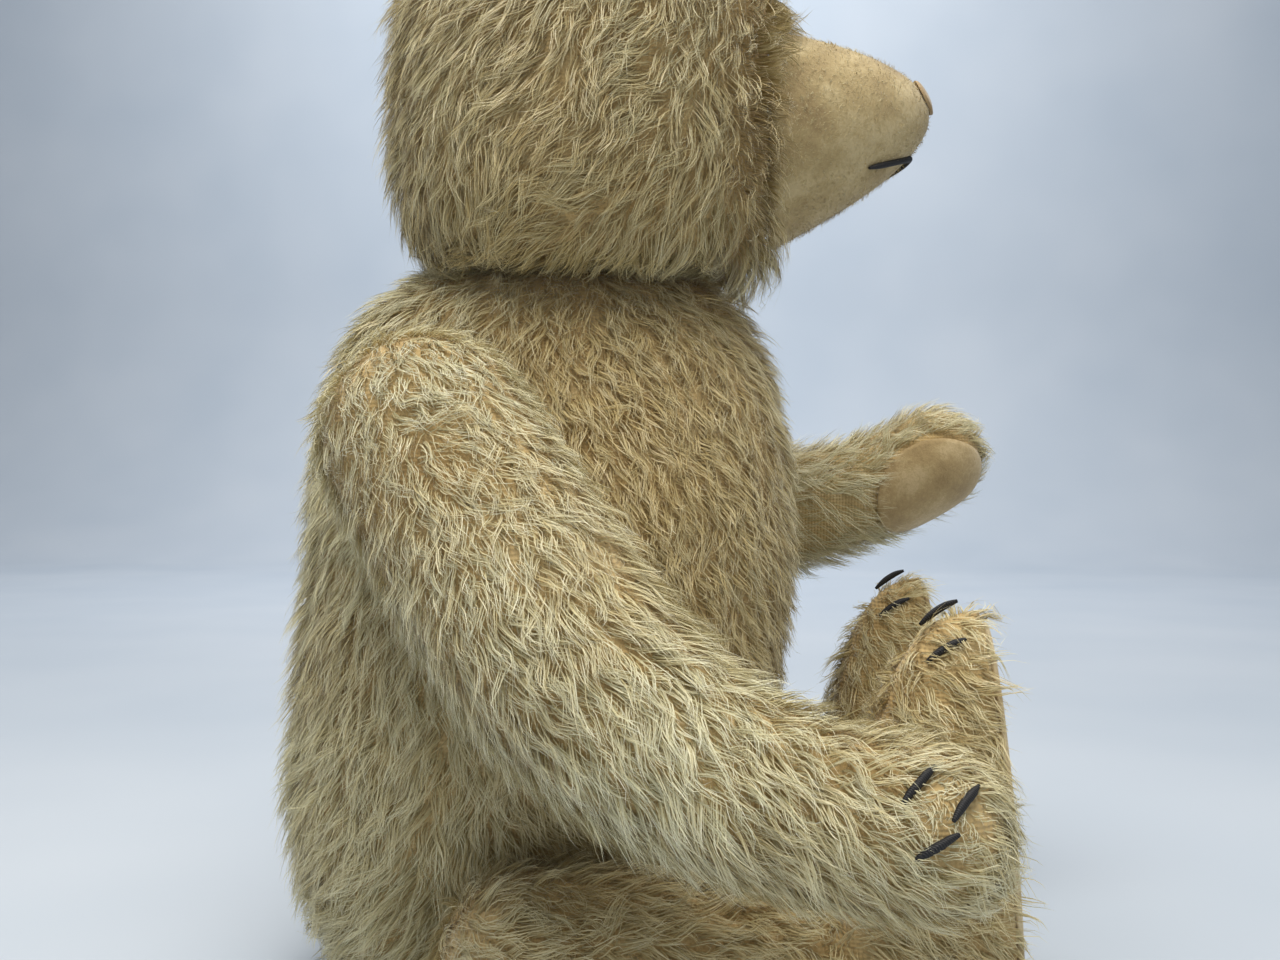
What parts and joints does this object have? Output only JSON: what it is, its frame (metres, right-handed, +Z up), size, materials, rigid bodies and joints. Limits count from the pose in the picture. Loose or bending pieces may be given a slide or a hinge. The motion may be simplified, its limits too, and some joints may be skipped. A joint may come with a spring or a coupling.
{
  "type": "jointed teddy bear",
  "caption": "Sitting plush bear with a felt muzzle, paws and soles, whose head, arms and legs each turn on a stiff disc joint.",
  "frame": {"origin": "centre of the sitting bear's bounding box, on the surface it sits on", "axes": "+Z up, +X towards the bear's front, +Y towards its left"},
  "size_m": [0.244, 0.2726, 0.3671],
  "materials": {
    "mohair_plush": "matte",
    "wool_felt": "matte",
    "wood_wool": "matte",
    "hardboard": "matte",
    "steel": "satin",
    "black_thread": "matte",
    "black_glass": "gloss",
    "cardboard": "matte"
  },
  "bodies": {
    "torso": {"body_cover": "mohair_plush", "body_stuffing": "wood_wool", "neck_body_disc": "hardboard", "neck_pin": "steel", "right_shoulder_body_disc": "hardboard", "right_shoulder_pin": "steel", "left_shoulder_body_disc": "hardboard", "left_shoulder_pin": "steel", "right_hip_body_disc": "hardboard", "right_hip_pin": "steel", "left_hip_body_disc": "hardboard", "left_hip_pin": "steel"},
    "head": {"head_cover": "mohair_plush", "head_stuffing": "wood_wool", "muzzle_cover": "wool_felt", "muzzle_stuffing": "wood_wool", "nose_patch": "wool_felt", "mouth_stitch": "black_thread", "right_eye": "black_glass", "left_eye": "black_glass", "right_ear": "mohair_plush", "left_ear": "mohair_plush", "neck_limb_disc": "hardboard", "neck_washer": "steel"},
    "right_arm": {"right_arm_cover": "mohair_plush", "right_arm_stuffing": "wood_wool", "right_paw_pad": "wool_felt", "right_paw_claw_1": "black_thread", "right_paw_claw_2": "black_thread", "right_paw_claw_3": "black_thread", "right_shoulder_limb_disc": "hardboard", "right_shoulder_washer": "steel"},
    "left_arm": {"left_arm_cover": "mohair_plush", "left_arm_stuffing": "wood_wool", "left_paw_pad": "wool_felt", "left_paw_claw_1": "black_thread", "left_paw_claw_2": "black_thread", "left_paw_claw_3": "black_thread", "left_shoulder_limb_disc": "hardboard", "left_shoulder_washer": "steel"},
    "right_leg": {"right_leg_cover": "mohair_plush", "right_leg_stuffing": "wood_wool", "right_foot_sole": "wool_felt", "right_foot_insole": "cardboard", "right_foot_claw_1": "black_thread", "right_foot_claw_2": "black_thread", "right_foot_claw_3": "black_thread", "right_hip_limb_disc": "hardboard", "right_hip_washer": "steel"},
    "left_leg": {"left_leg_cover": "mohair_plush", "left_leg_stuffing": "wood_wool", "left_foot_sole": "wool_felt", "left_foot_insole": "cardboard", "left_foot_claw_1": "black_thread", "left_foot_claw_2": "black_thread", "left_foot_claw_3": "black_thread", "left_hip_limb_disc": "hardboard", "left_hip_washer": "steel"}
  },
  "joints": [
    {"name": "neck_swivel", "type": "hinge", "parent": "torso", "child": "head", "pos_m": [-0.02921, 0.01003, 0.2325], "axis": [0, 0, 1], "range_deg": [-165, 165]},
    {"name": "right_shoulder", "type": "hinge", "parent": "torso", "child": "right_arm", "pos_m": [-0.05821, -0.04297, 0.171], "axis": [0.1881, 0.9407, -0.2822], "range_deg": [-66, 114]},
    {"name": "left_shoulder", "type": "hinge", "parent": "torso", "child": "left_arm", "pos_m": [-0.05821, 0.06303, 0.171], "axis": [-0.1881, 0.9407, 0.2822], "range_deg": [-32, 148]},
    {"name": "right_hip", "type": "hinge", "parent": "torso", "child": "right_leg", "pos_m": [-0.03321, -0.03027, 0.027], "axis": [0, 1, 0], "range_deg": [-6, 100]},
    {"name": "left_hip", "type": "hinge", "parent": "torso", "child": "left_leg", "pos_m": [-0.03321, 0.05033, 0.027], "axis": [0, 1, 0], "range_deg": [-6, 100]}
  ]
}
